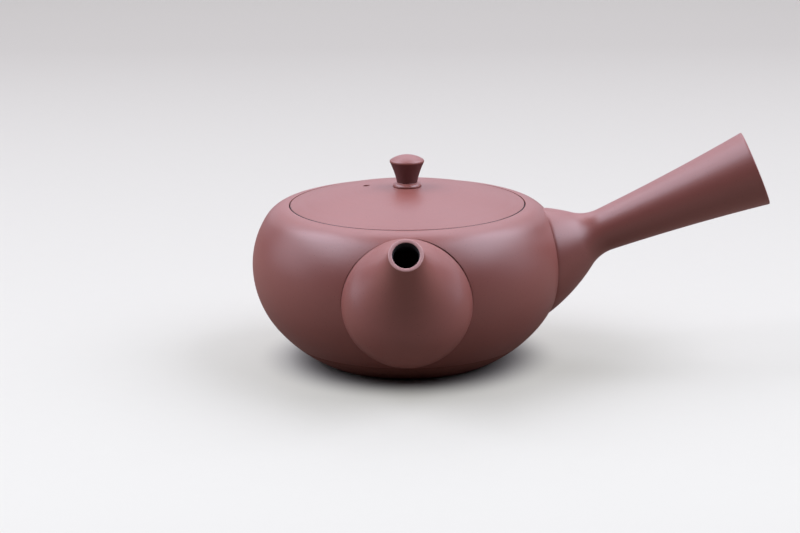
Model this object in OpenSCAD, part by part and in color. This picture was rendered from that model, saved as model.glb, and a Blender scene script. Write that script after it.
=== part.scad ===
// Side-handled clay teapot with a lift-off lid.
// Millimetres, +Z up. The origin is the centre of the base, on the table.
// The spout points along -Y and the handle leans out along +X.

/* [Body] */
// Diameter at the widest part of the belly
body_d = 108; // [92:1:130]
// Radius of the curve just below the widest part
low_curve_r = 33; // [29:0.5:38]
// Angle below level at which the base curve takes over
low_curve_angle = 39.5; // [32:0.5:46]
// Radius of the flatter curve that runs down to the base
base_curve_r = 46.5; // [40:0.5:54]
// Angle below level at which the base curve meets the table
base_curve_angle = 65.5; // [60:0.5:70]
// Radius of the curve just above the widest part
high_curve_r = 29.5; // [26:0.5:34]
// Angle above level at which the shoulder takes over
high_curve_angle = 34; // [26:0.5:42]
// Radius of the shoulder, which ends level at the rim
shoulder_r = 9.8; // [8:0.2:12]
// Thickness of the wall
body_wall = 2.8; // [2:0.1:3.6]
// Thickness of the floor
floor_t = 3.4; // [2.8:0.1:5]

/* [Rim] */
// Width of the ledge that carries the lid
ledge_w = 3.8; // [2.5:0.1:5]
// Thickness of the ledge
ledge_t = 2.4; // [1.6:0.1:3.5]

/* [Lid] */
// Clearance between the lid's edge and the rim
lid_gap = 0.3; // [0.2:0.05:0.6]
// Height of the lid's edge
lid_edge_h = 2.6; // [2:0.1:3.4]
// Rise of the dome above its own edge
lid_rise = 6.2; // [4:0.1:9]
// Thickness of the dome
lid_t = 2.8; // [2:0.1:3.6]
// Clearance between the lid's skirt and the opening
skirt_gap = 0.5; // [0.3:0.05:1]
// Depth of the skirt below the ledge
skirt_h = 7; // [4:0.5:12]
// Thickness of the skirt
skirt_t = 2.6; // [1.8:0.1:3.6]
// Diameter of the steam vent
vent_d = 2.4; // [1.5:0.1:3]
// Distance of the vent from the pot's axis
vent_reach = 15; // [11:0.5:22]
// Direction of the vent, seen from above, from +X
vent_angle = 161; // [0:1:359]

/* [Knob] */
// Diameter of the collar under the knob
collar_d = 9.8; // [8:0.1:13]
// Height of the collar above the seat in the lid
collar_h = 1.1; // [0.8:0.1:2]
// Depth of the flat seat below the dome's surface at its edge
knob_seat = 0.3; // [0.2:0.1:0.8]
// Diameter of the waist, just above the collar
waist_d = 6.7; // [5:0.1:8]
// Diameter of the rim
knob_d = 11.9; // [9:0.1:15]
// Height from the collar to the lower edge of the rim
knob_h = 7.9; // [6:0.1:11]
// Radius of the hollow curve between the waist and the rim
knob_curve_r = 31; // [20:1:60]
// Height of the rim's band
knob_band = 0.5; // [0.3:0.1:1]
// Rise of the domed top
knob_rise = 1.9; // [0.8:0.1:2.6]

/* [Spout] */
// Distance of the mouth from the widest part of the belly
spout_reach = 24; // [18:0.5:30]
// Height of the middle of the mouth above the rim
spout_rise = 0.8; // [0:0.1:4]
// Angle of the spout's axis above level
spout_tilt = 38; // [34:0.5:42]
// Outer diameter of the mouth
mouth_d = 11.2; // [9.5:0.1:14]
// Diameter of the mouth's hole at the lip
mouth_bore_d = 8.9; // [7.8:0.1:9.4]
// Depth of the bevel inside the lip
lip_bevel = 2.2; // [1.5:0.1:3.5]
// Thickness of the wall
spout_wall = 1.8; // [1.4:0.1:2.2]
// Opening angle of the cone at the mouth
mouth_flare_angle = 8; // [4:0.5:12]
// Radius of the hollow curve behind the mouth
spout_throat_r = 50; // [44:1:56]
// Steepest angle of the flare
spout_flare_angle = 40.5; // [38:0.5:43]
// Radius of the full curve at the root
spout_bell_r = 19.5; // [17:0.5:22]
// Angle past the widest part at which the root ends, inside the pot's outline
spout_end_angle = 60; // [56:1:66]

/* [Strainer] */
// Diameter of the port in the wall behind the spout
port_d = 26; // [20:0.5:30]
// Thickness of the strainer
strainer_t = 1.8; // [1.4:0.1:2.4]
// Length of the collar that sits in the port
strainer_collar = 3.4; // [3.2:0.1:5]
// Rise of the dome into the pot
strainer_rise = 7; // [5:0.5:10]
// Diameter of one hole
sieve_d = 1.4; // [1:0.1:1.8]
// Angle between rings of holes, seen from the dome's centre
sieve_pitch_angle = 11; // [9:0.5:12]
// Number of rings around the middle hole
sieve_rings = 4; // [2:1:4]
// Depth of the collar's front edge below the pot's surface
strainer_inset = 0.2; // [0.1:0.05:0.6]

/* [Handle] */
// Angle of the handle's axis above level
handle_tilt = 22.4; // [16:0.2:28]
// Height at which the handle's axis meets the pot's axis
handle_aim_z = 16.7; // [13:0.1:20]
// Distance of the neck from the widest part of the belly, along the handle
neck_reach = 15.7; // [13:0.1:20]
// Diameter of the neck
neck_d = 14.9; // [12:0.1:18]
// Length from the neck to the open end
grip_l = 55.9; // [45:0.1:75]
// Diameter of the open end
end_d = 26.6; // [20:0.1:32]
// Radius of the long hollow curve of the grip
grip_curve_r = 800; // [400:10:1500]
// Radius of the hollow curve at the neck
neck_curve_r = 13; // [10:0.5:18]
// Steepest angle of the root's flare
root_flare_angle = 36; // [32:0.5:40]
// Radius of the full curve at the root
root_bell_r = 64; // [54:1:76]
// Thickness of the wall
handle_wall = 2.4; // [1.8:0.1:3.2]

/* [Hidden] */
$fn = 96;
// How far a cutting shape runs past the face it cuts
past = 1;
// Segments drawn in the circles of very long curves
long_fn = 256;
// Angle at which the cavity's outline ends, below the floor
cavity_end_angle = 80;
// Colours of the fired clay
clay = [0.56, 0.36, 0.35];
clay_lit = [0.66, 0.46, 0.46];
clay_dark = [0.42, 0.25, 0.24];

function polar(c, r, a) = c + r * [cos(a), sin(a)];

// Where the tangents at the two ends of an arc meet
function corner(c, r, a0, a1) = polar(c, r / cos((a1 - a0) / 2), (a0 + a1) / 2);

// Centre of an arc through two points that is hollow on the side away from the axis
function hollow_centre(p, q, r) =
    let (m = (p + q) / 2, d = q - p, l = norm(d))
    m + sqrt(r * r - l * l / 4) * [d[1], -d[0]] / l;

// Radius of a dome of a given half width and rise
function dome_r(half, rise) = (half * half + rise * rise) / (2 * rise);

// Belly: four arcs that run smoothly into each other
body_r = body_d / 2;
belly_z = low_curve_r * sin(low_curve_angle)
    + base_curve_r * (sin(base_curve_angle) - sin(low_curve_angle));
low_c = [body_r - low_curve_r, belly_z];
base_c = polar(low_c, low_curve_r - base_curve_r, -low_curve_angle);
high_c = [body_r - high_curve_r, belly_z];
shoulder_c = polar(high_c, high_curve_r - shoulder_r, high_curve_angle);
rim_z = shoulder_c[1] + shoulder_r;

// Rim and lid
seat_r = shoulder_c[0] + lid_gap / 2;
seat_z = rim_z - lid_edge_h;
opening_r = seat_r - ledge_w;
lid_r = seat_r - lid_gap;
skirt_r = opening_r - skirt_gap;
lid_dome_r = dome_r(lid_r, lid_rise);
lid_dome_c = [0, rim_z + lid_rise - lid_dome_r];

// Knob
collar_r = collar_d / 2;
knob_z = lid_dome_c[1] + sqrt(lid_dome_r * lid_dome_r - collar_r * collar_r) - knob_seat;
waist_z = knob_z + collar_h;
knob_rim_z = waist_z + knob_h;
knob_top_z = knob_rim_z + knob_band;

// Port and strainer
port_r = port_d / 2;
strainer_front = high_c[0] + sqrt(high_curve_r * high_curve_r - port_r * port_r) - strainer_inset;
sieve_r = dome_r(port_r, strainer_rise);
sieve_c = [0, strainer_collar + strainer_rise - sieve_r];

// Handle, measured along its own axis from the neck
neck_r = neck_d / 2;
neck_at = body_r / cos(handle_tilt) + neck_reach;
neck_point = [neck_r, 0];
end_point = [end_d / 2, grip_l];
grip_c = hollow_centre(neck_point, end_point, grip_curve_r);
neck_slope = atan(-grip_c[1] / (grip_c[0] - neck_r));

// What lies between an arc and the corner where the tangents at its ends meet
module waste(c, r, a0, a1) {
    difference() {
        polygon([
            polar(c, r, a0),
            polar(c, r + past, a0),
            corner(c, r, a0, a1) + past * [cos((a0 + a1) / 2), sin((a0 + a1) / 2)],
            polar(c, r + past, a1),
            polar(c, r, a1)
        ]);
        translate(c) circle(r = r);
    }
}

// Half section of the belly, drawn in from its outer surface by inset
module belly_section(inset, end_angle) {
    base_r = base_curve_r - inset;
    low_r = low_curve_r - inset;
    high_r = high_curve_r - inset;
    top_r = shoulder_r - inset;
    base_p = polar(base_c, base_r, -end_angle);
    rim_p = polar(shoulder_c, top_r, 90);
    difference() {
        polygon([
            [0, base_p[1]],
            base_p,
            corner(base_c, base_r, -end_angle, -low_curve_angle),
            polar(low_c, low_r, -low_curve_angle),
            corner(low_c, low_r, -low_curve_angle, 0),
            corner(high_c, high_r, 0, high_curve_angle),
            polar(high_c, high_r, high_curve_angle),
            corner(shoulder_c, top_r, high_curve_angle, 90),
            rim_p,
            [0, rim_p[1]]
        ]);
        waste(base_c, base_r, -end_angle, -low_curve_angle);
        waste(low_c, low_r, -low_curve_angle, 0);
        waste(high_c, high_r, 0, high_curve_angle);
        waste(shoulder_c, top_r, high_curve_angle, 90);
    }
}

// Turns a half section around the pot's axis, with the seam at the back
module turned() {
    rotate(90) rotate_extrude() children();
}

// The belly as a solid, which also trims what is stuck to it
module belly() {
    turned() belly_section(0, base_curve_angle);
}

// Half section of a thrown bell: hollow at the throat, then full at the root.
// It starts at height 0 with radius start_r and runs down. The outline above it is given in top.
module bell_section(start_r, start_a, throat_r, flare_a, bell_r, end_a, inset, top) {
    hollow_r = throat_r + inset;
    full_r = bell_r - inset;
    throat_c = polar([start_r, 0], throat_r, start_a);
    start_p = polar(throat_c, hollow_r, 180 + start_a);
    throat_p = polar(throat_c, hollow_r, 180 + flare_a);
    bell_c = polar(throat_p, -full_r, flare_a);
    end_p = polar(bell_c, full_r, -end_a);
    difference() {
        polygon(concat(top, [
            start_p,
            throat_p,
            corner(bell_c, full_r, -end_a, flare_a),
            end_p,
            [0, end_p[1]]
        ]));
        translate(throat_c) circle(r = hollow_r);
        waste(bell_c, full_r, -end_a, flare_a);
    }
}

// Places a shape made around +Z on the spout's axis, with the mouth at height 0
module on_spout() {
    translate([0, -body_r - spout_reach, rim_z + spout_rise]) rotate([90 - spout_tilt, 0, 0]) children();
}

// Places a shape made around +Z on the handle's axis, with the neck at height 0
module on_handle() {
    translate([0, 0, handle_aim_z]) rotate([0, 90 - handle_tilt, 0]) translate([0, 0, neck_at]) children();
}

// Places a shape made around +Z on the port's axis, pointing into the pot
module on_port() {
    translate([0, -strainer_front, belly_z]) rotate([-90, 0, 0]) children();
}

// Half section of the pot's wall with its floor and the ledge for the lid
module body_section() {
    difference() {
        belly_section(0, base_curve_angle);
        difference() {
            belly_section(body_wall, cavity_end_angle);
            translate([0, -body_r]) square([body_r, body_r + floor_t]);
            translate([opening_r, seat_z - ledge_t]) square([body_r, ledge_t + lid_edge_h]);
        }
        translate([0, seat_z - ledge_t - past]) square([opening_r, rim_z]);
        translate([0, seat_z]) square([seat_r, rim_z]);
    }
}

module body() {
    color(clay) difference() {
        turned() body_section();
        translate([0, -body_r / 2, belly_z]) rotate([90, 0, 0]) cylinder(r = port_r, h = body_r);
    }
}

module spout_section(inset) {
    bell_section(
        mouth_d / 2, mouth_flare_angle, spout_throat_r, spout_flare_angle,
        spout_bell_r, spout_end_angle, inset,
        [[0, -inset * sin(mouth_flare_angle)]]
    );
}

module spout() {
    bevel_r = mouth_d / 2 - spout_wall;
    color(clay_lit) difference() {
        on_spout() rotate_extrude() difference() {
            spout_section(0);
            spout_section(spout_wall);
            polygon([
                [0, -lip_bevel],
                [bevel_r, -lip_bevel],
                [mouth_bore_d / 2, 0],
                [mouth_bore_d / 2, past],
                [0, past]
            ]);
        }
        belly();
    }
}

module strainer_section() {
    square([port_r, strainer_collar]);
    intersection() {
        translate(sieve_c) circle(r = sieve_r);
        translate([0, strainer_collar]) square([port_r, strainer_rise + past]);
    }
}

module strainer_hollow() {
    translate([0, -past]) square([port_r - strainer_t, strainer_collar + past]);
    intersection() {
        translate(sieve_c) circle(r = sieve_r - strainer_t);
        translate([0, strainer_collar]) square([port_r - strainer_t, strainer_rise + past]);
    }
}

module sieve_hole(tilt, turn) {
    translate([0, 0, sieve_c[1]]) rotate([0, tilt, turn])
        translate([0, 0, sieve_r - strainer_t - past]) cylinder(d = sieve_d, h = strainer_t + 2 * past);
}

module strainer() {
    color(clay_dark) on_port() difference() {
        rotate_extrude() difference() {
            strainer_section();
            strainer_hollow();
        }
        sieve_hole(0, 0);
        for (ring = [1 : sieve_rings], i = [0 : 6 * ring - 1]) {
            sieve_hole(ring * sieve_pitch_angle, i * 60 / ring);
        }
    }
}

// Half section of the handle, drawn in by inset and run past its open end by extra
module handle_section(inset, extra) {
    hollow_r = grip_curve_r + inset;
    neck_p = grip_c + hollow_r * (neck_point - grip_c) / grip_curve_r;
    end_p = grip_c + hollow_r * (end_point - grip_c) / grip_curve_r;
    difference() {
        bell_section(
            neck_r, -neck_slope, neck_curve_r, root_flare_angle, root_bell_r, 0, inset,
            [[0, grip_l + extra], [end_p[0], grip_l + extra], end_p]
        );
        intersection() {
            translate(grip_c) circle(r = hollow_r, $fn = long_fn);
            translate(neck_p) square([end_p[0], grip_l]);
        }
    }
}

module handle() {
    color(clay) difference() {
        on_handle() rotate_extrude() difference() {
            handle_section(0, 0);
            handle_section(handle_wall, past);
        }
        belly();
    }
}

// Half section of the lid: a dome, its edge on the ledge, and the skirt below
module lid_section() {
    difference() {
        intersection() {
            translate(lid_dome_c) circle(r = lid_dome_r, $fn = long_fn);
            translate([0, seat_z - skirt_h]) square([lid_r, skirt_h + lid_edge_h + lid_rise + past]);
        }
        translate([skirt_r, seat_z - skirt_h - past]) square([lid_r, skirt_h + past]);
        intersection() {
            translate(lid_dome_c) circle(r = lid_dome_r - lid_t, $fn = long_fn);
            translate([0, seat_z - skirt_h - past]) square([skirt_r - skirt_t, rim_z]);
        }
        translate([0, knob_z]) square([collar_r, lid_rise]);
    }
}

module lid() {
    color(clay_lit) difference() {
        rotate_extrude() lid_section();
        rotate(vent_angle) translate([vent_reach, 0, seat_z])
            cylinder(d = vent_d, h = lid_edge_h + lid_rise);
    }
}

// Half section of the knob: collar, hollow-sided stem, rim band and domed top
module knob_section() {
    waist_p = [waist_d / 2, waist_z];
    rim_p = [knob_d / 2, knob_rim_z];
    top_r = dome_r(knob_d / 2, knob_rise);
    translate([0, knob_z]) square([collar_r, collar_h]);
    difference() {
        polygon([[0, waist_z], waist_p, rim_p, [0, knob_rim_z]]);
        translate(hollow_centre(waist_p, rim_p, knob_curve_r)) circle(r = knob_curve_r);
    }
    translate([0, knob_rim_z]) square([knob_d / 2, knob_band]);
    intersection() {
        translate([0, knob_top_z + knob_rise - top_r]) circle(r = top_r);
        translate([0, knob_top_z]) square([knob_d / 2, knob_rise + past]);
    }
}

module knob() {
    color(clay_dark) rotate_extrude() knob_section();
}

body();
spout();
strainer();
handle();
lid();
knob();
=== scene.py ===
"""Side-handled clay teapot: the thrown pieces, the fired clay and the studio they stand in."""

from math import acos, asin, atan2, ceil, cos, hypot, pi, radians, sin, sqrt, tau

import bpy
from bpy.props import FloatProperty, FloatVectorProperty, IntProperty, PointerProperty
from mathutils import Matrix, Vector


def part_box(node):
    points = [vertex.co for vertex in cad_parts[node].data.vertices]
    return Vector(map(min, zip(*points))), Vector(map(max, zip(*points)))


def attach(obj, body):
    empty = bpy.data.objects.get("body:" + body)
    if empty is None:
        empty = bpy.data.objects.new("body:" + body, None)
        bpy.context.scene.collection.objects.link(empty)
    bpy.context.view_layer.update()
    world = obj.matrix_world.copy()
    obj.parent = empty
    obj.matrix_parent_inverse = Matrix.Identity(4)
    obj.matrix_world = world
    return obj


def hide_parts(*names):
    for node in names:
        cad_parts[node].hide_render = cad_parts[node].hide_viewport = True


bl_info = {
    "name": "Side-handled teapot",
    "version": (1, 0, 0),
    "blender": (4, 5, 0),
    "location": "View3D > Sidebar > Teapot",
    "description": "Throws, trims and fires a side-handled clay teapot with a lift-off lid",
    "category": "Add Mesh",
}

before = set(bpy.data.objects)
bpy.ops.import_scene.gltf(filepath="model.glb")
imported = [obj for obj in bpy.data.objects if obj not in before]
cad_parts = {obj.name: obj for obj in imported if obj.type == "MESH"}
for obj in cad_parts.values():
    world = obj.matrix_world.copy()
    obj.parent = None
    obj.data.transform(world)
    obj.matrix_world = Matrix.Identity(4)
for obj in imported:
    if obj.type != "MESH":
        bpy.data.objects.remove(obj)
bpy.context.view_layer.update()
BODY_LOW, BODY_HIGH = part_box("body")

# Points closer than this are one point
WELD = 1e-6
# How far a cutting shape runs past the face it cuts
PAST = 0.001

# Steps of a full turn in which each form is spun
BELLY_TURNS = 256
SPOUT_TURNS = 224
HANDLE_TURNS = 192
SMALL_TURNS = 128
DRILL_TURNS = 32
# Spacing of the points along an outline, and closer spacings for curves that show up close
STEP = 0.0008
HANDLE_STEP = 0.0004
CROWN_STEP = 0.0004
SPOUT_STEP = 0.00035
STEM_STEP = 0.0002
# Steps in the rounded top of the knob's collar
COLLAR_STEPS = 10
# Spacing of the rings that a thrower's fingers leave
RIPPLE_PITCH = 0.0042
# Holes that a ring of the strainer has more than the ring inside it
RING_HOLES = 6

# Segments of a sponged edge, and how sharp an edge has to be for the sponge to round it
SPONGE_SEGMENTS = 3
SPONGE_ANGLE = radians(30)
# Faces that meet at less than this shade into each other
SMOOTH_ANGLE = radians(40)
# A root sinks into the wall by its thickness over this number
WALL_PARTS = 3
# How quickly the joint line around the spout fades away from its open stretches
JOINT_FADE = 4
# How far the tool for that line is drawn in where slip fills the joint, in widths of the line
JOINT_FILLED = 1.2

# Place of a third clay among a piece's finishes, after the polished and the unpolished one: the painted
# highlight on the spout's lip, the painted shade in the lid's seam
THIRD_FINISH = 2
# Height up to which the foot of the pot is left unpolished
FOOT_BAND = 0.00025
# How squarely a face of the spout's lip looks out to get the painted highlight
LIP_FACING = 0.3
# How far up the faces on the lid's rounded edge look that get painted shade in the seam
SEAM_LOW = 0.05
SEAM_HIGH = 0.8
# How far down a face of the lid looks that is left unpolished
UNDERSIDE = -0.2

# Sizes of the marks in the clay
DRIFT = 0.03
MOTTLE = 0.004
GRAIN = 0.00045
SPECK_SPACING = 0.0011
RING_SPACING = 0.0009
# How much the wheel's rings also follow the distance from the axis
RING_SLOPE = 0.7
# Size of a speck, as a share of the spacing, the mottle above which specks lie, and their strength
SPECK_SIZE = 0.13
SPECK_PATCHES = 0.5
SPECK_STRENGTH = 0.6
# Shares of the clay's colour that are left in its darker drifts and in its iron specks
DEEPER = 0.84
SPECK_DARK = 0.4

# Middle of what a noise gives
NOISE_MIDDLE = 0.5
# Share of each mark in the clay's tone, and the tone where the marks are at their middle
TONE_MARKS = {"drift": 0.7, "mottle": 0.45, "grain": 0.35, "rings": 0.2}
TONE_MIDDLE = 0.43
# Share of each mark in the roughness, in the relief, and the relief's depth, on polished clay
POLISHED_ROUGHNESS = {"drift": 0.08, "grain": 0.06, "rings": 0.05}
POLISHED_RELIEF = {"grain": 0.5, "rings": 0.2}
POLISHED_DEPTH = 0.00003
# The same on unpolished clay, with the strength of its reflections
RAW_ROUGHNESS = {"mottle": 0.15}
RAW_RELIEF = {"grain": 1.0, "rings": 0.5, "mottle": 0.4}
RAW_DEPTH = 0.00008
RAW_GLOSS = 0.5
# How strongly the relief shows, and how much the clay bends light
RELIEF_STRENGTH = 0.5
CLAY_IOR = 1.53

# Width of the floor, and size and strength of the fibres in its paper
FLOOR_WIDTH = 10
FIBRE = 0.006
FIBRE_STRENGTH = 0.04
BLACK = (0, 0, 0, 1)
# Width of the camera's sensor in millimetres
SENSOR_WIDTH = 36

# Sockets of a Mix node that carry its factor, its two colours and its result
MIX_FACTOR = 0
MIX_LOW = 6
MIX_HIGH = 7
MIX_RESULT = 2

# Softboxes: name, place, width and height, and watts
SOFTBOXES = (
    ("Left softbox", (-0.82, -0.08, 0.98), (1.3, 0.8), 12.0),
    ("Right softbox", (0.84, -0.05, 0.97), (1.3, 0.9), 12.4),
    ("Back left softbox", (-0.62, 0.56, 1.0), (0.85, 1.0), 3.1),
    ("Back right softbox", (0.61, 0.57, 1.0), (0.85, 1.0), 2.9),
    ("Back softbox", (0, 0.84, 1.0), (0.85, 1.0), 4.1),
    ("Low back softbox", (0, 1.26, 0.34), (2.0, 0.5), 2.6),
    ("Low left softbox", (-1.25, 0.17, 0.34), (0.9, 0.5), 1.7),
    ("Low right softbox", (1.25, 0.17, 0.34), (0.9, 0.5), 1.2),
)


def length(name, description, default):
    """A size in metres."""
    return FloatProperty(
        name=name,
        description=description,
        default=default,
        unit="LENGTH",
        precision=5,
    )


def angle(name, description, degrees):
    """An angle, given in degrees and kept in radians."""
    return FloatProperty(
        name=name,
        description=description,
        default=radians(degrees),
        subtype="ANGLE",
    )


def share(name, description, default):
    """A share or strength without a unit."""
    return FloatProperty(name=name, description=description, default=default)


def colour(name, description, default):
    """A colour in linear light."""
    return FloatVectorProperty(
        name=name,
        description=description,
        default=default,
        subtype="COLOR",
        size=3,
    )


class PotSizes(bpy.types.PropertyGroup):
    """Sizes of the thrown pot."""

    width: length("Width", "Widest part of the belly", BODY_HIGH.x - BODY_LOW.x)
    low_curve: length("Low curve", "Radius of the curve just below the widest part", 0.033)
    low_angle: angle("Low angle", "Angle below level at which the base curve takes over", 39.5)
    base_curve: length("Base curve", "Radius of the flatter curve down to the base", 0.0465)
    base_angle: angle("Base angle", "Angle below level at which that curve meets the table", 65.5)
    high_curve: length("High curve", "Radius of the curve just above the widest part", 0.0295)
    high_angle: angle("High angle", "Angle above level at which the shoulder takes over", 34)
    shoulder: length("Shoulder", "Radius of the shoulder, which ends level at the rim", 0.0098)
    wall: length("Wall", "Thickness of the wall", 0.0028)
    floor: length("Floor", "Thickness of the floor", 0.0034)
    ledge_width: length("Ledge width", "Width of the ledge that carries the lid", 0.0038)
    ledge_height: length("Ledge height", "Thickness of the ledge", 0.0024)
    edge: length("Edge", "Width of the sponged edges of the rim and the ledge", 0.00035)
    ripple: length("Ripple", "Height of the throwing rings inside", 0.00008)


class LidSizes(bpy.types.PropertyGroup):
    """Sizes of the lid."""

    gap: length("Gap", "Clearance between the lid's edge and the rim", 0.0003)
    edge_height: length("Edge height", "Height of the lid's edge", 0.0026)
    rise: length("Rise", "Rise of the dome above its own edge", 0.0062)
    thickness: length("Thickness", "Thickness of the dome", 0.0028)
    skirt_gap: length("Skirt gap", "Clearance between the skirt and the opening", 0.0005)
    skirt_depth: length("Skirt depth", "Depth of the skirt below the ledge", 0.007)
    skirt_thickness: length("Skirt thickness", "Thickness of the skirt", 0.0026)
    vent_width: length("Vent width", "Diameter of the steam vent", 0.0024)
    vent_reach: length("Vent reach", "Distance of the vent from the pot's axis", 0.015)
    vent_direction: angle("Vent direction", "Direction of the vent, seen from above", 161)
    vent_edge: length("Vent edge", "Width of the sponged edge of the vent", 0.0001)
    edge: length("Edge", "Width of the sponged edges", 0.00035)


class KnobSizes(bpy.types.PropertyGroup):
    """Sizes of the knob on the lid."""

    collar_width: length("Collar width", "Diameter of the collar under the knob", 0.0098)
    collar_height: length("Collar height", "Height of the collar above its seat", 0.0011)
    seat: length("Seat", "Depth of the flat seat below the dome at its edge", 0.0003)
    seat_gap: length("Seat gap", "Fine line left around the collar in its seat", 0.00015)
    waist: length("Waist", "Diameter just above the collar", 0.0067)
    width: length("Width", "Diameter of the rim", 0.0119)
    stem: length("Stem", "Height from the collar to the lower edge of the rim", 0.0079)
    stem_curve: length("Stem curve", "Radius of the hollow curve of the stem", 0.031)
    band: length("Band", "Height of the rim's band", 0.0005)
    crown: length("Crown", "Rise of the domed top", 0.0019)
    collar_lip: length("Collar lip", "Height of the undercut below the collar's edge", 0.0002)
    slip: length("Slip", "Height to which slip is smoothed up the stem from the collar", 0.0005)
    edge: length("Edge", "Width of the sponged edges", 0.0002)


class SpoutSizes(bpy.types.PropertyGroup):
    """Sizes of the spout."""

    reach: length("Reach", "Distance of the mouth from the widest part of the belly", 0.024)
    rise: length("Rise", "Height of the middle of the mouth above the rim", 0.0008)
    tilt: angle("Tilt", "Angle of the spout's axis above level", 38)
    mouth: length("Mouth", "Outer diameter of the mouth", 0.0112)
    bore: length("Bore", "Diameter of the hole at the lip", 0.0089)
    lip_depth: length("Lip depth", "Depth of the bevel inside the lip", 0.0015)
    wall: length("Wall", "Thickness of the wall", 0.0018)
    mouth_flare: angle("Mouth flare", "Opening angle at the mouth", 8)
    throat_curve: length("Throat curve", "Radius of the hollow curve behind the mouth", 0.05)
    flare: angle("Flare", "Steepest angle of the flare", 40.5)
    bell_curve: length("Bell curve", "Radius of the full curve at the root", 0.0195)
    root_angle: angle("Root angle", "Angle past the widest part at which the root ends", 60)
    edge: length("Edge", "Width of the sponged edges of the lip", 0.00022)
    bore_shade_start: length("Bore shade", "Distance from the lip at which the painted shade in the bore starts", 0.0004)
    joint_gap: length("Joint gap", "Widest part of the line left around the root", 0.00026)
    joint_wide: angle("Joint wide", "Direction of its widest part, from the handle's side up", 38)
    joint_thin: angle("Joint thin", "Direction in which a thinner stretch shows", 158)
    joint_share: share("Joint share", "Width of that stretch, as a share of the widest", 0.6)
    joint_depth: length("Joint depth", "Depth of the rounded edge along that line", 0.0002)
    joint_reach: length("Joint reach", "Width of the rounded edge along that line", 0.0006)


class StrainerSizes(bpy.types.PropertyGroup):
    """Sizes of the strainer and of the port it sits in."""

    port: length("Port", "Diameter of the port in the wall behind the spout", 0.026)
    thickness: length("Thickness", "Thickness of the dome", 0.0018)
    collar: length("Collar", "Length of the collar that sits in the port", 0.0034)
    rise: length("Rise", "Rise of the dome into the pot", 0.007)
    hole: length("Hole", "Diameter of one hole", 0.0014)
    pitch: angle("Pitch", "Angle between rings of holes, seen from the dome's centre", 11)
    rings: IntProperty(name="Rings", description="Rings of holes around the middle one", default=4)
    inset: length("Inset", "Depth of the collar's front edge below the pot's surface", 0.0002)
    edge: length("Edge", "Width of the sponged edges", 0.0002)


class HandleSizes(bpy.types.PropertyGroup):
    """Sizes of the side handle."""

    tilt: angle("Tilt", "Angle of the handle's axis above level", 22.4)
    aim: length("Aim", "Height at which the handle's axis meets the pot's axis", 0.0167)
    neck_reach: length("Neck reach", "Distance of the neck from the belly's widest part", 0.0157)
    neck: length("Neck", "Diameter of the neck", 0.0149)
    grip: length("Grip", "Length from the neck to the open end", 0.0559)
    end: length("End", "Diameter of the open end", 0.0266)
    grip_curve: length("Grip curve", "Radius of the long hollow curve of the grip", 0.8)
    neck_curve: length("Neck curve", "Radius of the hollow curve at the neck", 0.013)
    root_flare: angle("Root flare", "Steepest angle of the root's flare", 36)
    root_curve: length("Root curve", "Radius of the full curve at the root", 0.064)
    wall: length("Wall", "Thickness of the wall", 0.0024)
    edge: length("Edge", "Width of the sponged edges of the open end", 0.0007)
    joint_depth: length("Joint depth", "Depth of the line left around the root", 0.00025)
    joint_reach: length("Joint reach", "Width of the rounded edge along that line", 0.0008)


class ClayLook(bpy.types.PropertyGroup):
    """Colours and finish of the fired clay, with colours that paint shade and a highlight on it."""

    burnished: colour("Burnished", "Polished red-brown clay", (0.355, 0.115, 0.092))
    raw: colour("Raw", "Unpolished clay inside the pot and under it", (0.30, 0.112, 0.088))
    painted_stem_shade: colour("Stem shade", "Dark clay that paints the shade on the knob's stem", (0.145, 0.049, 0.045))
    bore_and_seam_shade: colour("Painted shade", "Dark clay that paints the shade in the spout's bore and the lid's seam", (0.035, 0.037, 0.04))
    painted_lip_highlight: colour("Lip highlight", "Pale clay that paints the highlight on the spout's lip", (0.66, 0.36, 0.33))
    sheen: share("Roughness", "Roughness of the polished clay", 0.41)
    raw_roughness: share("Raw roughness", "Roughness of the unpolished clay", 0.72)
    polish: share("Polish", "Strength of the polished clay's reflections", 1.0)


class StudioLook(bpy.types.PropertyGroup):
    """Camera, floor and light of the studio."""

    lens: FloatProperty(
        name="Lens",
        description="Focal length in millimetres",
        default=105.75,
        unit="CAMERA",
    )
    distance: length("Distance", "Distance of the camera from the middle of the pot", 0.8193)
    elevation: angle("Elevation", "Height of the camera above level", 13.99)
    azimuth: angle("Azimuth", "Turn of the camera to the handle's side", 0.4)
    roll: angle("Roll", "Tilt of the camera about its line of sight", -0.486)
    middle: length("Middle", "Height of the middle of the pot", 0.035)
    aim: FloatVectorProperty(
        name="Aim",
        description="Point that the middle of the picture looks at",
        default=(-0.0027, 0, 0.032),
        subtype="XYZ",
        unit="LENGTH",
        precision=5,
    )
    floor_near: colour("Near floor", "Colour of the floor in front", (0.83, 0.83, 0.758))
    floor_far: colour("Far floor", "Colour of the floor at the back", (0.577, 0.558, 0.51))
    near: length("Near", "Place on the floor, along the spout's line, of its near colour", -0.15)
    far: length("Far", "Place on the floor, along the spout's line, of its far colour", 0.7)
    floor_shade: share("Floor shade", "Share of its colour that takes light and shadow", 0.54)
    painted_floor_light: share("Floor glow", "Share of its colour that glows for the camera as painted light", 0.41)
    glow_start: length("Glow start", "Distance from the pot's axis where the glow starts", 0.034)
    glow_full: length("Glow full", "Distance from the pot's axis where the glow is full", 0.054)
    floor_bounce: colour("Floor bounce", "Colour of the light that it throws back", (0.235, 0.187, 0.155))
    lamp: colour("Lamps", "Colour of the softboxes", (0.96, 0.96, 1.14))
    room: share("Room", "Strength of the light that the room gives from all sides", 0.01)


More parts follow.
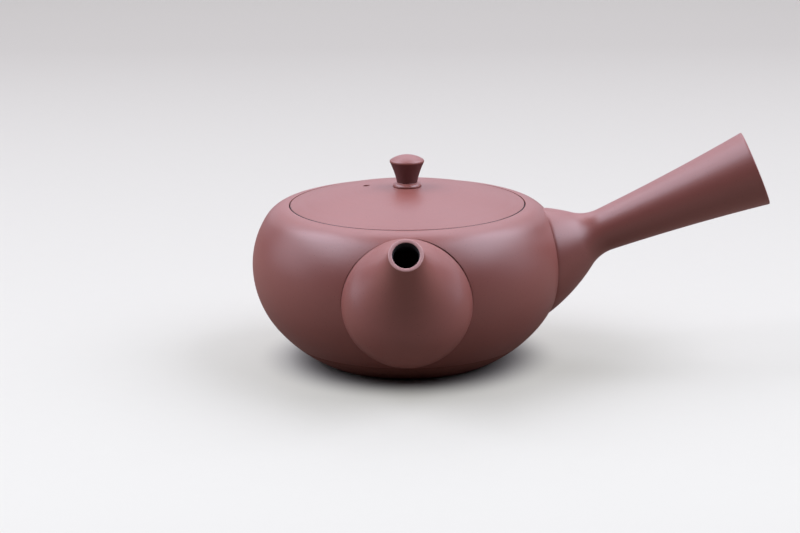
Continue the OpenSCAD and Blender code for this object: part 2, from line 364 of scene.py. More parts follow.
class Teapot(bpy.types.PropertyGroup):
    """All settings of the teapot."""

    pot: PointerProperty(type=PotSizes)
    lid: PointerProperty(type=LidSizes)
    knob: PointerProperty(type=KnobSizes)
    spout: PointerProperty(type=SpoutSizes)
    strainer: PointerProperty(type=StrainerSizes)
    handle: PointerProperty(type=HandleSizes)
    clay: PointerProperty(type=ClayLook)
    studio: PointerProperty(type=StudioLook)


# Outlines: points of radius and height around a piece's own axis


def polar(centre, radius, turn):
    """The point on a circle at an angle from level."""
    return centre + radius * Vector((cos(turn), sin(turn)))


def arc(centre, radius, start, end, step=STEP, ripple=0.0):
    """Points along an arc, with throwing rings where a ripple is given."""
    count = max(2, ceil(abs(end - start) * radius / step))
    points = []
    for i in range(count + 1):
        turn = start + (end - start) * i / count
        ring = ripple * sin(tau * abs(turn - start) * radius / RIPPLE_PITCH)
        points.append(polar(centre, radius + ring, turn))
    return points


def dome_radius(half, rise):
    """Radius of a dome of a given half width and rise."""
    return (half * half + rise * rise) / (2 * rise)


def hollow_centre(low, high, radius):
    """Centre of an arc through two points that is hollow on the side away from the axis."""
    across = high - low
    span = across.length
    side = Vector((across.y, -across.x)) / span
    return (low + high) / 2 + sqrt(radius * radius - span * span / 4) * side


def bearing(centre, point):
    """Direction of a point from a centre, from 0 to a full turn."""
    return atan2(point.y - centre.y, point.x - centre.x) % tau


class Belly:
    """The pot's outer curve: four arcs that run into each other, from the base to the rim."""

    def __init__(self, pot):
        self.radius = pot.width / 2
        base_drop = pot.base_curve * (sin(pot.base_angle) - sin(pot.low_angle))
        self.level = pot.low_curve * sin(pot.low_angle) + base_drop
        low = Vector((self.radius - pot.low_curve, self.level))
        base = polar(low, pot.low_curve - pot.base_curve, -pot.low_angle)
        high = Vector((self.radius - pot.high_curve, self.level))
        shoulder = polar(high, pot.high_curve - pot.shoulder, pot.high_angle)
        self.arcs = (
            (base, pot.base_curve, -pot.base_angle, -pot.low_angle),
            (low, pot.low_curve, -pot.low_angle, 0),
            (high, pot.high_curve, 0, pot.high_angle),
            (shoulder, pot.shoulder, pot.high_angle, pi / 2),
        )
        self.high = high
        self.shoulder = shoulder
        self.rim = shoulder.y + pot.shoulder

    def curve(self, inset=0.0, bottom=0.0, top=None, ripple=0.0):
        """The curve drawn in by an inset, from one height to another."""
        top = self.rim - inset if top is None else top
        points = []
        for centre, radius, start, end in self.arcs:
            radius -= inset
            lowest = asin(max(-1, (bottom - centre.y) / radius))
            highest = asin(min(1, (top - centre.y) / radius))
            if centre is self.arcs[0][0]:
                start = lowest
            start, end = max(start, lowest), min(end, highest)
            if end > start:
                points += arc(centre, radius, start, end, ripple=ripple)
        return points

    def gap(self, point):
        """Distance of a point in space from the curve, positive outside."""
        flat = Vector((hypot(point.x, point.y), point.z))
        for centre, radius, start, end in self.arcs:
            away = flat - centre
            if start <= atan2(away.y, away.x) <= end:
                return away.length - radius
        return flat.y


class Rim:
    """Where the lid sits in the pot."""

    def __init__(self, teapot):
        pot, lid = teapot.pot, teapot.lid
        self.belly = Belly(pot)
        self.top = self.belly.rim
        self.seat_radius = self.belly.shoulder.x + lid.gap / 2
        self.seat = self.top - lid.edge_height
        self.opening = self.seat_radius - pot.ledge_width
        self.lid_radius = self.seat_radius - lid.gap
        self.skirt = self.opening - lid.skirt_gap
        self.dome_radius = dome_radius(self.lid_radius, lid.rise)
        self.dome_centre = Vector((0, self.top + lid.rise - self.dome_radius))
        knob_radius = teapot.knob.collar_width / 2
        self.knob_seat = self.dome_height(knob_radius) - teapot.knob.seat

    def dome_height(self, reach):
        """Height of the lid's dome at a distance from the axis."""
        return self.dome_centre.y + sqrt(self.dome_radius ** 2 - reach * reach)


def bell(start_radius, start_flare, throat_curve, flare, bell_curve, root_angle, inset, fine):
    """Outline of a thrown bell from its throat down: hollow at first, then full to the root."""
    throat = polar(Vector((start_radius, 0)), throat_curve, start_flare)
    hollow = arc(throat, throat_curve + inset, pi + start_flare, pi + flare)
    full_radius = bell_curve - inset
    full = polar(hollow[-1], -full_radius, flare)
    return hollow + arc(full, full_radius, flare, -root_angle, step=fine)


def spout_wall(spout, inset, fine):
    """Outline of the spout's wall from the mouth to the root, drawn in by an inset."""
    return bell(
        spout.mouth / 2,
        spout.mouth_flare,
        spout.throat_curve,
        spout.flare,
        spout.bell_curve,
        spout.root_angle,
        inset,
        fine,
    )


def spout_line(spout, around):
    """How open the spout's joint line is in a direction, from 0, filled with slip, to 1."""
    wide = max(0, cos(around - spout.joint_wide)) ** JOINT_FADE
    thin = max(0, cos(around - spout.joint_thin)) ** JOINT_FADE
    return max(wide, thin * spout.joint_share)


def spout_seat(spout, belly):
    """Turn and place of the spout's mouth."""
    turn = Matrix.Rotation(pi / 2 - spout.tilt, 4, "X")
    spot = Vector((0, -belly.radius - spout.reach, belly.rim + spout.rise))
    return turn, spot


# Modelling steps


def start_fresh():
    """Drops every selection, so that only the new piece is worked on."""
    bpy.ops.object.select_all(action="DESELECT")


def pick(piece):
    """Makes one piece the only one that is worked on."""
    start_fresh()
    piece.select_set(True)
    bpy.context.view_layer.objects.active = piece


def throw(name, outline, turns):
    """Spins an outline around +Z into a closed form, as on a wheel."""
    start_fresh()
    bpy.ops.mesh.primitive_plane_add(size=PAST)
    piece = bpy.context.object
    piece.name = name
    piece.data.name = name
    bpy.ops.object.mode_set(mode="EDIT")
    bpy.ops.mesh.merge(type="CENTER")
    points = [Vector(point) for point in outline]
    bpy.ops.transform.translate(value=(points[0].x, 0, points[0].y))
    here = points[0]
    for point in points[1:]:
        step = point - here
        if step.length > WELD:
            move = {"value": (step.x, 0, step.y)}
            bpy.ops.mesh.extrude_vertices_move(TRANSFORM_OT_translate=move)
            here = point
    bpy.ops.mesh.select_all(action="SELECT")
    bpy.ops.mesh.spin(steps=turns, angle=tau, center=(0, 0, 0), axis=(0, 0, 1))
    bpy.ops.mesh.select_all(action="SELECT")
    bpy.ops.mesh.remove_doubles(threshold=WELD)
    bpy.ops.mesh.normals_make_consistent(inside=False)
    bpy.ops.object.mode_set(mode="OBJECT")
    return piece


def place(piece, turn, spot):
    """Turns and moves a piece made around +Z to its place on the pot."""
    pick(piece)
    piece.rotation_euler = turn
    piece.location = spot
    bpy.ops.object.transform_apply(location=True, rotation=True, scale=True)


def apply(piece, kind, **settings):
    """Finishes a piece with one modifier."""
    pick(piece)
    modifier = piece.modifiers.new(kind.title(), kind)
    for name, value in settings.items():
        setattr(modifier, name, value)
    bpy.ops.object.modifier_apply(modifier=modifier.name)


def sponge(piece, width):
    """Rounds the sharp edges, as with a wet sponge."""
    apply(
        piece,
        "BEVEL",
        width=width,
        segments=SPONGE_SEGMENTS,
        limit_method="ANGLE",
        angle_limit=SPONGE_ANGLE,
    )


def cut(piece, tool):
    """Cuts a closed form out of a piece and takes the tool away."""
    apply(piece, "BOOLEAN", operation="DIFFERENCE", solver="MANIFOLD", object=tool)
    bpy.data.objects.remove(tool)


def drill(name, width, depth, edge=0.0):
    """A round cutter that reaches down from the origin, wider at its mouth where an edge is given."""
    radius = width / 2
    outline = [(0, -depth), (radius, -depth)]
    if edge:
        outline += [(radius, -edge), (radius + edge, 0), (radius + edge, PAST), (0, PAST)]
    else:
        outline += [(radius, 0), (0, 0)]
    return throw(name, outline, DRILL_TURNS)


def trim_to_belly(piece, belly, wall):
    """Cuts the root of a piece to the belly's curve, and lets it sink a little into the wall."""
    sunk = wall / WALL_PARTS
    curve = belly.curve(inset=sunk, bottom=sunk)
    tool = throw("Belly tool", [(0, curve[0].y), *curve, (0, curve[-1].y)], BELLY_TURNS)
    cut(piece, tool)


def draw_in(piece, depth, share_at):
    """Draws a piece's outer side in, at each point by a share of the depth."""
    group = piece.vertex_groups.new(name="Drawn in")
    for vertex in piece.data.vertices:
        group.add([vertex.index], share_at(vertex.co, vertex.normal), "REPLACE")
    apply(
        piece,
        "DISPLACE",
        direction="NORMAL",
        mid_level=0,
        strength=-depth,
        vertex_group=group.name,
    )
    piece.vertex_groups.clear()


def round_joint(piece, belly, seat, depth, reach, open_at=lambda around: 1):
    """Rounds the outer edge where a piece meets the belly, which leaves a fine line there."""
    to_piece = seat.inverted()
    turn_to_piece = to_piece.to_3x3()

    def share_at(point, normal):
        gap = belly.gap(point)
        local = to_piece @ point
        facing = turn_to_piece @ normal
        if gap >= reach or facing.x * local.x + facing.y * local.y <= 0:
            return 0
        nearness = 1 - max(gap, 0) / reach
        return nearness * nearness * open_at(atan2(local.y, local.x))

    draw_in(piece, depth, share_at)


def wipe(piece):
    """Joins points that the cuts left on top of each other, so that no stray face is left."""
    pick(piece)
    bpy.ops.object.mode_set(mode="EDIT")
    bpy.ops.mesh.select_all(action="SELECT")
    bpy.ops.mesh.remove_doubles(threshold=WELD)
    bpy.ops.mesh.dissolve_degenerate(threshold=WELD)
    bpy.ops.object.mode_set(mode="OBJECT")


def fire(piece, node, body, finishes, finish_at):
    """Gives a finished piece its clays and smooth shading, and fastens it to the frame."""
    wipe(piece)
    piece.data.materials.clear()
    for finish in finishes:
        piece.data.materials.append(finish)
    for face in piece.data.polygons:
        face.material_index = int(finish_at(face.center, face.normal))
    pick(piece)
    bpy.ops.object.shade_smooth_by_angle(angle=SMOOTH_ANGLE)
    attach(piece, body)
    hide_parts(node)


# Clay: shader sums are written as plain expressions


class Wire:
    """A socket's value, which can be used in sums."""

    def __init__(self, shader, socket):
        self.shader = shader
        self.socket = socket

    def math(self, operation, *values):
        """Adds a Math node."""
        sockets = dict(enumerate(values))
        return self.shader.add("ShaderNodeMath", {"operation": operation}, sockets)

    def __add__(self, other):
        return self.math("ADD", self, other)

    def __sub__(self, other):
        return self.math("SUBTRACT", self, other)

    def __rsub__(self, other):
        return self.math("SUBTRACT", other, self)

    def __mul__(self, other):
        return self.math("MULTIPLY", self, other)

    def __gt__(self, other):
        return self.math("GREATER_THAN", self, other)

    def __lt__(self, other):
        return self.math("LESS_THAN", self, other)

    def root(self):
        return self.math("SQRT", self)

    __radd__ = __add__
    __rmul__ = __mul__


class Shader:
    """A material's node tree, with one method that adds any node."""

    def __init__(self, owner):
        owner.use_nodes = True
        self.tree = owner.node_tree
        self.tree.nodes.clear()

    def add(self, kind, settings=None, sockets=None, output=0):
        """Adds a node, sets it up, feeds its sockets and gives one of its outputs."""
        node = self.tree.nodes.new(kind)
        for name, value in (settings or {}).items():
            setattr(node, name, value)
        for key, value in (sockets or {}).items():
            if isinstance(value, Wire):
                self.tree.links.new(value.socket, node.inputs[key])
            else:
                node.inputs[key].default_value = value
        return Wire(self, node.outputs[output]) if node.outputs else None

    def of(self, wire, output):
        """Another output of the node that a wire comes from."""
        return Wire(self, wire.socket.node.outputs[output])

    def noise(self, place, size, detail):
        """Soft noise whose blots are about the given size."""
        sockets = {"Vector": place, "Scale": 1 / size, "Detail": detail}
        return self.add("ShaderNodeTexNoise", None, sockets)

    def ramp(self, value, start, end, kind):
        """A share that grows from 0 to 1 as a value goes from a start to an end."""
        settings = {"clamp": True, "interpolation_type": kind}
        sockets = {"Value": value, "From Min": start, "From Max": end}
        return self.add("ShaderNodeMapRange", settings, sockets)

    def blend(self, factor, low, high):
        """A colour between two colours."""
        settings = {"data_type": "RGBA", "clamp_factor": True}
        sockets = {MIX_FACTOR: factor, MIX_LOW: low, MIX_HIGH: high}
        return self.add("ShaderNodeMix", settings, sockets, output=MIX_RESULT)


def rgba(value):
    """A colour with full cover."""
    return (*value, 1)


def swing(marks, shares):
    """How far a clay's marks, each by its share, are from their middle."""
    total = -NOISE_MIDDLE * sum(shares.values())
    for name, strength in shares.items():
        total = total + marks[name] * strength
    return total


def clay(name, look, turned_to, shade, polished):
    """Fired clay with fine grain, iron specks and the rings of the wheel around a piece's axis."""
    material = bpy.data.materials.new(name)
    shader = Shader(material)
    place = shader.add("ShaderNodeTexCoord", output="Object")
    lathe = shader.add(
        "ShaderNodeMapping",
        {"vector_type": "TEXTURE"},
        {
            "Vector": place,
            "Location": turned_to.to_translation(),
            "Rotation": turned_to.to_euler(),
        },
    )
    across = shader.add("ShaderNodeSeparateXYZ", None, {"Vector": lathe}, "X")
    sideways = shader.of(across, "Y")
    height = shader.of(across, "Z")
    radius = (across * across + sideways * sideways).root()

    marks = {
        "drift": shader.noise(place, DRIFT, detail=3),
        "mottle": shader.noise(place, MOTTLE, detail=4),
        "grain": shader.noise(place, GRAIN, detail=3),
        "rings": shader.add(
            "ShaderNodeTexNoise",
            {"noise_dimensions": "1D"},
            {"W": height + radius * RING_SLOPE, "Scale": 1 / RING_SPACING, "Detail": 3},
        ),
    }
    speck_sockets = {"Vector": place, "Scale": 1 / SPECK_SPACING}
    spots = shader.add("ShaderNodeTexVoronoi", None, speck_sockets)
    specks = (spots < SPECK_SIZE) * (marks["mottle"] > SPECK_PATCHES)

    tone = TONE_MIDDLE + swing(marks, TONE_MARKS)
    dark = [channel * DEEPER for channel in shade]
    body_colour = shader.blend(tone, rgba(dark), rgba(shade))
    if polished:
        roughness = look.sheen + swing(marks, POLISHED_ROUGHNESS)
        relief = swing(marks, POLISHED_RELIEF)
        depth = POLISHED_DEPTH
        gloss = look.polish
    else:
        roughness = look.raw_roughness + swing(marks, RAW_ROUGHNESS)
        relief = swing(marks, RAW_RELIEF)
        depth = RAW_DEPTH
        gloss = RAW_GLOSS
    iron = [channel * SPECK_DARK for channel in shade]
    speckled = shader.blend(specks * SPECK_STRENGTH, body_colour, rgba(iron))
    bump_sockets = {"Strength": RELIEF_STRENGTH, "Distance": depth, "Height": relief}
    bump = shader.add("ShaderNodeBump", None, bump_sockets)
    surface = shader.add(
        "ShaderNodeBsdfPrincipled",
        None,
        {
            "Base Color": speckled,
            "Roughness": roughness,
            "IOR": CLAY_IOR,
            "Specular IOR Level": gloss,
            "Normal": bump,
        },
    )
    shader.add("ShaderNodeOutputMaterial", None, {"Surface": surface})
    return material


def clays(label, look, turned_to, inside=None):
    """Polished clay for a piece's outside, and unpolished clay for its inside, which may be given the
    colour of painted shade.
    """
    polished = clay(f"Burnished clay, {label}", look, turned_to, look.burnished, True)
    raw = clay(f"Raw clay, {label}", look, turned_to, inside or look.raw, False)
    return polished, raw


# Operators: one for each piece, and one for the stage


class TEAPOT_OT_pot(bpy.types.Operator):
    """Throw the pot with its floor, wall, ledge and port"""

    bl_idname = "teapot.pot"
    bl_label = "Pot"

    def execute(self, context):
        teapot = context.scene.teapot
        pot = teapot.pot
        rim = Rim(teapot)
        belly = rim.belly
        under_ledge = rim.seat - pot.ledge_height
        rim_end = acos((rim.seat_radius - belly.shoulder.x) / pot.shoulder)
        outside = belly.curve(top=belly.shoulder.y + pot.shoulder * sin(rim_end))
        inside = belly.curve(inset=pot.wall, bottom=pot.floor, top=under_ledge, ripple=pot.ripple)
        ledge = [
            (rim.seat_radius, rim.seat),
            (rim.opening, rim.seat),
            (rim.opening, under_ledge),
        ]
        outline = [(0, 0), *outside, *ledge, *reversed(inside), (0, pot.floor)]
        piece = throw("Pot", outline, BELLY_TURNS)
        sponge(piece, pot.edge)
        port = drill("Port tool", teapot.strainer.port, belly.radius)
        place(port, (pi / 2, 0, 0), (0, -belly.radius - PAST, belly.level))
        cut(piece, port)
        cut(piece, self.joint_line(teapot, belly))

        def is_raw(spot, normal):
            facing_in = normal.x * spot.x + normal.y * spot.y < 0
            within_rim = hypot(spot.x, spot.y) < rim.seat_radius and spot.z < rim.seat + WELD
            return spot.z < FOOT_BAND or facing_in or within_rim

        fire(piece, "body", "pot", clays("pot", teapot.clay, Matrix()), is_raw)
        return {"FINISHED"}

    @staticmethod
    def joint_line(teapot, belly):
        """A thin bell that scores the wall along the spout's edge, where the joint is open."""
        spout = teapot.spout
        outer = spout_wall(spout, -spout.joint_gap, STEP)
        inner = spout_wall(spout, spout.joint_gap, STEP)
        tool = throw("Joint tool", [*outer, *reversed(inner), outer[0]], SPOUT_TURNS)

        def share_at(point, normal):
            if normal.x * point.x + normal.y * point.y < 0:
                return 0
            return 1 - spout_line(spout, atan2(point.y, point.x))

        draw_in(tool, spout.joint_gap * JOINT_FILLED, share_at)
        turn, spot = spout_seat(spout, belly)
        place(tool, turn.to_euler(), spot)
        trim_to_belly(tool, belly, teapot.pot.wall)
        return tool


class TEAPOT_OT_spout(bpy.types.Operator):
    """Throw the spout as a small bell, and cut it to the belly"""

    bl_idname = "teapot.spout"
    bl_label = "Spout"

    def execute(self, context):
        teapot = context.scene.teapot
        spout = teapot.spout
        belly = Belly(teapot.pot)
        outside = spout_wall(spout, 0, SPOUT_STEP)
        inside = spout_wall(spout, spout.wall, STEP)
        inside = [point for point in inside if point.y < -spout.lip_depth]
        lip = Vector((spout.bore / 2, 0))
        piece = throw("Spout", [lip, *outside, *reversed(inside), lip], SPOUT_TURNS)
        sponge(piece, spout.edge)
        turn, spot = spout_seat(spout, belly)
        axis = turn @ Vector((0, 0, 1))
        place(piece, turn.to_euler(), spot)
        trim_to_belly(piece, belly, teapot.pot.wall)
        turned_to = Matrix.Translation(spot) @ turn
        round_joint(
            piece,
            belly,
            turned_to,
            spout.joint_depth,
            spout.joint_reach,
            lambda around: spout_line(spout, around),
        )

        # Painted highlight and painted shade: faces of the lip that look out along the spout get the pale
        # clay, and the bore past the lip the dark clay
        def finish_at(point, normal):
            offset = point - spot
            depth = -offset.dot(axis)
            outward = offset + axis * depth
            if depth < spout.bore_shade_start:
                return THIRD_FINISH if normal.dot(axis) > LIP_FACING else 0
            return outward.dot(normal) < 0

        look = teapot.clay
        lip_highlight_clay = clay("Highlight clay, spout", look, turned_to, look.painted_lip_highlight, True)
        finishes = (*clays("spout", look, turned_to, look.bore_and_seam_shade), lip_highlight_clay)
        fire(piece, "spout", "pot", finishes, finish_at)
        return {"FINISHED"}


class TEAPOT_OT_strainer(bpy.types.Operator):
    """Make the pierced dome that sits in the port behind the spout"""

    bl_idname = "teapot.strainer"
    bl_label = "Strainer"

    def execute(self, context):
        teapot = context.scene.teapot
        strainer = teapot.strainer
        belly = Belly(teapot.pot)
        radius = strainer.port / 2
        inner = radius - strainer.thickness
        sphere = dome_radius(radius, strainer.rise)
        centre = Vector((0, strainer.collar + strainer.rise - sphere))
        hollow = sphere - strainer.thickness
        outside = arc(centre, sphere, asin((strainer.collar - centre.y) / sphere), pi / 2)
        inside = arc(centre, hollow, pi / 2, acos(inner / hollow))
        outline = [*outside, *inside, (inner, 0), (radius, 0), outside[0]]
        piece = throw("Strainer", outline, SMALL_TURNS)
        sponge(piece, strainer.edge)
        cut(piece, self.needles(strainer, centre.y, sphere))
        front = belly.high.x + sqrt(teapot.pot.high_curve ** 2 - radius ** 2) - strainer.inset
        spot = (0, -front, belly.level)
        place(piece, (-pi / 2, 0, 0), spot)
        turned_to = Matrix.Translation(spot) @ Matrix.Rotation(-pi / 2, 4, "X")
        finishes = clays("strainer", teapot.clay, turned_to)
        fire(piece, "strainer", "pot", finishes, lambda point, normal: True)
        return {"FINISHED"}

    @staticmethod
    def needles(strainer, centre, sphere):
        """One tool of many needles, in rings that point to the dome's centre."""
        first = drill("Needles", strainer.hole, strainer.thickness + 2 * PAST)
        needles = []
        for ring in range(strainer.rings + 1):
            count = max(1, RING_HOLES * ring)
            for i in range(count):
                needle = first.copy()
                needle.data = first.data.copy()
                bpy.context.collection.objects.link(needle)
                turn = Matrix.Rotation(tau * i / count, 4, "Z")
                turn = turn @ Matrix.Rotation(ring * strainer.pitch, 4, "Y")
                needle.rotation_euler = turn.to_euler()
                needle.location = turn @ Vector((0, 0, sphere + PAST)) + Vector((0, 0, centre))
                needles.append(needle)
        bpy.data.objects.remove(first)
        pick(needles[0])
        for needle in needles:
            needle.select_set(True)
        bpy.ops.object.join()
        return needles[0]


class TEAPOT_OT_handle(bpy.types.Operator):
    """Throw the hollow side handle, and cut it to the belly"""

    bl_idname = "teapot.handle"
    bl_label = "Handle"

    def execute(self, context):
        teapot = context.scene.teapot
        handle = teapot.handle
        belly = Belly(teapot.pot)
        neck = Vector((handle.neck / 2, 0))
        end = Vector((handle.end / 2, handle.grip))
        centre = hollow_centre(neck, end, handle.grip_curve)
        neck_turn, end_turn = bearing(centre, neck), bearing(centre, end)

        def wall(inset, fine):
            grip = arc(centre, handle.grip_curve + inset, end_turn, neck_turn)
            root = bell(
                neck.x,
                neck_turn - pi,
                handle.neck_curve,
                handle.root_flare,
                handle.root_curve,
                0,
                inset,
                fine,
            )
            return grip + root

        outside = wall(0, HANDLE_STEP)
        inside = wall(handle.wall, STEP)
        mouth = Vector((inside[0].x, handle.grip))
        outline = [mouth, *outside, *reversed(inside[1:]), mouth]
        piece = throw("Handle", outline, HANDLE_TURNS)
        sponge(piece, handle.edge)
        turn = Matrix.Rotation(pi / 2 - handle.tilt, 4, "Y")
        axis = turn @ Vector((0, 0, 1))
        neck_at = belly.radius / cos(handle.tilt) + handle.neck_reach
        spot = Vector((0, 0, handle.aim)) + axis * neck_at
        place(piece, turn.to_euler(), spot)
        trim_to_belly(piece, belly, teapot.pot.wall)
        turned_to = Matrix.Translation(spot) @ turn
        round_joint(piece, belly, turned_to, handle.joint_depth, handle.joint_reach)

        def is_raw(point, normal):
            offset = point - spot
            outward = offset - axis * offset.dot(axis)
            return outward.dot(normal) < 0

        fire(piece, "handle", "pot", clays("handle", teapot.clay, turned_to), is_raw)
        return {"FINISHED"}


class TEAPOT_OT_lid(bpy.types.Operator):
    """Throw the domed lid with its edge, skirt and steam vent"""

    bl_idname = "teapot.lid"
    bl_label = "Lid"

    def execute(self, context):
        teapot = context.scene.teapot
        lid = teapot.lid
        rim = Rim(teapot)
        skirt_inner = rim.skirt - lid.skirt_thickness
        skirt_end = rim.seat - lid.skirt_depth
        dome_end = acos(rim.lid_radius / rim.dome_radius)
        dome = arc(rim.dome_centre, rim.dome_radius, pi / 2, dome_end)
        under_radius = rim.dome_radius - lid.thickness
        under = arc(rim.dome_centre, under_radius, acos(skirt_inner / under_radius), pi / 2)
        edge = [
            (rim.lid_radius, rim.seat),
            (rim.skirt, rim.seat),
            (rim.skirt, skirt_end),
            (skirt_inner, skirt_end),
        ]
        piece = throw("Lid", [*dome, *edge, *under], BELLY_TURNS)
        sponge(piece, lid.edge)
        vent = drill("Vent tool", lid.vent_width, rim.top, lid.vent_edge)
        vent_spot = Matrix.Rotation(lid.vent_direction, 3, "Z") @ Vector((lid.vent_reach, 0, 0))
        vent_spot.z = rim.dome_height(lid.vent_reach)
        place(vent, (0, 0, 0), vent_spot)
        cut(piece, vent)
        knob = teapot.knob
        seat = drill("Seat tool", knob.collar_width + 2 * knob.seat_gap, lid.rise)
        place(seat, (0, 0, 0), (0, 0, rim.knob_seat + lid.rise))
        cut(piece, seat)

        # Faces on the lid's rounded edge that look partly up, into the seam, get the dark clay: painted
        # shade
        def finish_at(point, normal):
            on_edge = hypot(point.x, point.y) > rim.lid_radius - lid.edge
            if on_edge and SEAM_LOW < normal.z < SEAM_HIGH:
                return THIRD_FINISH
            return point.z < rim.seat + WELD or normal.z < UNDERSIDE

        look = teapot.clay
        seam_shade_clay = clay("Stained clay, lid", look, Matrix(), look.bore_and_seam_shade, False)
        fire(piece, "lid", "lid", (*clays("lid", look, Matrix()), seam_shade_clay), finish_at)
        return {"FINISHED"}


class TEAPOT_OT_knob(bpy.types.Operator):
    """Turn the knob that is stuck on the lid"""

    bl_idname = "teapot.knob"
    bl_label = "Knob"

    def execute(self, context):
        teapot = context.scene.teapot
        knob = teapot.knob
        seat = Rim(teapot).knob_seat
        collar = knob.collar_width / 2
        radius = knob.width / 2
        waist = Vector((knob.waist / 2, seat + knob.collar_height))
        rim = Vector((radius, waist.y + knob.stem))
        stem_centre = hollow_centre(waist, rim, knob.stem_curve)
        stem_turns = (bearing(stem_centre, waist), bearing(stem_centre, rim))
        stem = arc(stem_centre, knob.stem_curve, *stem_turns, step=STEM_STEP)
        stem = [point for point in stem if point.y > waist.y + knob.slip]
        top = rim.y + knob.band
        sphere = dome_radius(radius, knob.crown)
        crown_centre = Vector((0, top + knob.crown - sphere))
        crown = arc(crown_centre, sphere, acos(radius / sphere), pi / 2, step=CROWN_STEP)
        lip = seat + knob.seat + knob.collar_lip
        undercut = collar - knob.collar_lip
        foot = [(0, seat), (undercut, seat), (undercut, seat + knob.seat)]
        for i in range(COLLAR_STEPS + 1):
            turn = pi / 2 * i / COLLAR_STEPS
            foot.append((
                stem[0].x + (collar - stem[0].x) * cos(turn),
                lip + (stem[0].y - lip) * sin(turn),
            ))
        piece = throw("Knob", [*foot, *stem, *crown], SMALL_TURNS)
        sponge(piece, knob.edge)

        # Faces that look down on the stem, where its shade falls, get the dark clay: painted shade
        def is_raw(spot, normal):
            in_stem_shade = waist.y < spot.z < rim.y and normal.z < 0
            return spot.z < seat + WELD or in_stem_shade

        look = teapot.clay
        finishes = clays("knob", look, Matrix(), look.painted_stem_shade)
        fire(piece, "knob", "lid", finishes, is_raw)
        return {"FINISHED"}


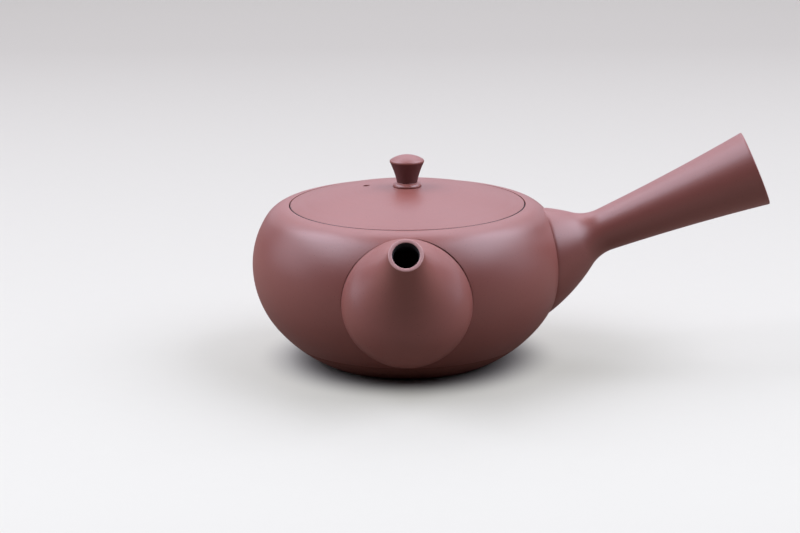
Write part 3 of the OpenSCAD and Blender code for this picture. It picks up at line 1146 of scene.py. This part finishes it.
class TEAPOT_OT_stage(bpy.types.Operator):
    """Lay the pale floor, hang the soft lights and set up the camera"""

    bl_idname = "teapot.stage"
    bl_label = "Stage"

    def execute(self, context):
        studio = context.scene.teapot.studio
        self.lay_floor(studio)
        self.hang_lights(studio)
        self.set_camera(studio)
        context.scene.view_settings.view_transform = "Standard"
        return {"FINISHED"}

    @staticmethod
    def lay_floor(studio):
        start_fresh()
        bpy.ops.mesh.primitive_plane_add(size=FLOOR_WIDTH)
        floor = bpy.context.object
        floor.name = "Floor"
        material = bpy.data.materials.new("Pale paper")
        shader = Shader(material)
        place = shader.add("ShaderNodeTexCoord", output="Object")
        depth = shader.add("ShaderNodeSeparateXYZ", None, {"Vector": place}, "Y")
        # Painted shade: the paper's colour grows darker towards the back
        far = shader.ramp(depth, studio.near, studio.far, "LINEAR")
        fibre = shader.noise(place, FIBRE, detail=4)
        tone = far + (fibre - NOISE_MIDDLE) * FIBRE_STRENGTH
        paper = shader.blend(tone, rgba(studio.floor_near), rgba(studio.floor_far))
        seen = shader.add("ShaderNodeLightPath", output="Is Camera Ray")
        shaded = shader.blend(studio.floor_shade, BLACK, paper)
        shown = shader.blend(seen, rgba(studio.floor_bounce), shaded)
        sheet = shader.add("ShaderNodeBsdfDiffuse", None, {"Color": shown})
        # Painted light: away from the pot the floor glows for the camera and lifts its shadows; close to
        # the pot it doesn't, so the contact shadow stays dark
        reach = shader.add("ShaderNodeVectorMath", {"operation": "LENGTH"}, {0: place}, "Value")
        clear = shader.ramp(reach, studio.glow_start, studio.glow_full, "SMOOTHSTEP")
        glow = shader.add(
            "ShaderNodeEmission",
            None,
            {"Color": paper, "Strength": clear * seen * studio.painted_floor_light},
        )
        surface = shader.add("ShaderNodeAddShader", None, {0: sheet, 1: glow})
        shader.add("ShaderNodeOutputMaterial", None, {"Surface": surface})
        floor.data.materials.append(material)

    @staticmethod
    def hang_lights(studio):
        world = bpy.data.worlds.new("Room")
        bpy.context.scene.world = world
        shader = Shader(world)
        glow = shader.add(
            "ShaderNodeBackground",
            None,
            {"Color": rgba(studio.lamp), "Strength": studio.room},
        )
        shader.add("ShaderNodeOutputWorld", None, {"Surface": glow})
        for name, spot, size, watts in SOFTBOXES:
            start_fresh()
            bpy.ops.object.light_add(type="AREA", location=spot)
            lamp = bpy.context.object
            lamp.name = name
            lamp.data.shape = "RECTANGLE"
            lamp.data.size, lamp.data.size_y = size
            lamp.data.energy = watts
            lamp.data.color = studio.lamp
            lamp.visible_camera = False
            aim = Vector((0, 0, studio.middle)) - Vector(spot)
            lamp.rotation_euler = aim.to_track_quat("-Z", "Y").to_euler()

    @staticmethod
    def set_camera(studio):
        start_fresh()
        bpy.ops.object.camera_add()
        camera = bpy.context.object
        camera.data.lens = studio.lens
        camera.data.sensor_width = SENSOR_WIDTH
        back = Vector((
            sin(studio.azimuth) * cos(studio.elevation),
            -cos(studio.azimuth) * cos(studio.elevation),
            sin(studio.elevation),
        ))
        middle = Vector((0, 0, studio.middle))
        camera.location = middle + back * studio.distance
        look = (Vector(studio.aim) - camera.location).to_track_quat("-Z", "Y").to_matrix()
        camera.rotation_euler = (look @ Matrix.Rotation(studio.roll, 3, "Z")).to_euler()
        bpy.context.scene.camera = camera


class TEAPOT_PT_panel(bpy.types.Panel):
    """Buttons that make the teapot piece by piece"""

    bl_idname = "TEAPOT_PT_panel"
    bl_label = "Teapot"
    bl_space_type = "VIEW_3D"
    bl_region_type = "UI"
    bl_category = "Teapot"

    def draw(self, context):
        for operator in OPERATORS:
            self.layout.operator(operator.bl_idname)


OPERATORS = (
    TEAPOT_OT_pot,
    TEAPOT_OT_spout,
    TEAPOT_OT_strainer,
    TEAPOT_OT_handle,
    TEAPOT_OT_lid,
    TEAPOT_OT_knob,
    TEAPOT_OT_stage,
)

CLASSES = (
    PotSizes,
    LidSizes,
    KnobSizes,
    SpoutSizes,
    StrainerSizes,
    HandleSizes,
    ClayLook,
    StudioLook,
    Teapot,
    *OPERATORS,
    TEAPOT_PT_panel,
)


def register():
    for item in CLASSES:
        bpy.utils.register_class(item)
    bpy.types.Scene.teapot = PointerProperty(type=Teapot)


def unregister():
    del bpy.types.Scene.teapot
    for item in reversed(CLASSES):
        bpy.utils.unregister_class(item)


def main():
    register()
    bpy.ops.teapot.pot()
    bpy.ops.teapot.spout()
    bpy.ops.teapot.strainer()
    bpy.ops.teapot.handle()
    bpy.ops.teapot.lid()
    bpy.ops.teapot.knob()
    bpy.ops.teapot.stage()


if __name__ == "__main__":
    main()
